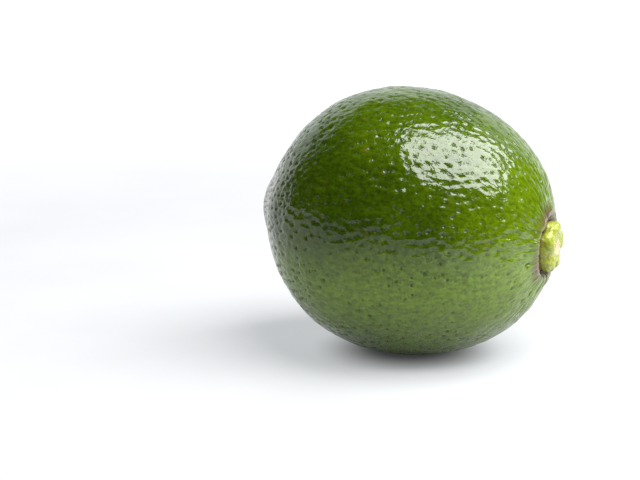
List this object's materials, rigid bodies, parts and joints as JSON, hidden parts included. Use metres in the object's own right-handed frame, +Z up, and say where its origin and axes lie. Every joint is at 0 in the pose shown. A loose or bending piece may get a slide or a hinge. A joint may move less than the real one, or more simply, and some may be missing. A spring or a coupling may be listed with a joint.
{
  "type": "lime",
  "caption": "Whole ripe lime with a glossy pitted green peel, a nipple at the blossom end and its lobed stem button, lying on its side.",
  "frame": {"origin": "on the table, under the middle of the lime's bounding box", "axes": "+X along the fruit towards its stem button, +Y across it, +Z up"},
  "size_m": [0.0606, 0.052, 0.0516],
  "materials": {
    "lime_peel": "gloss",
    "stem_calyx": "satin"
  },
  "bodies": {
    "root": {"lime_fruit": "lime_peel", "stem_button": "stem_calyx"}
  },
  "joints": []
}
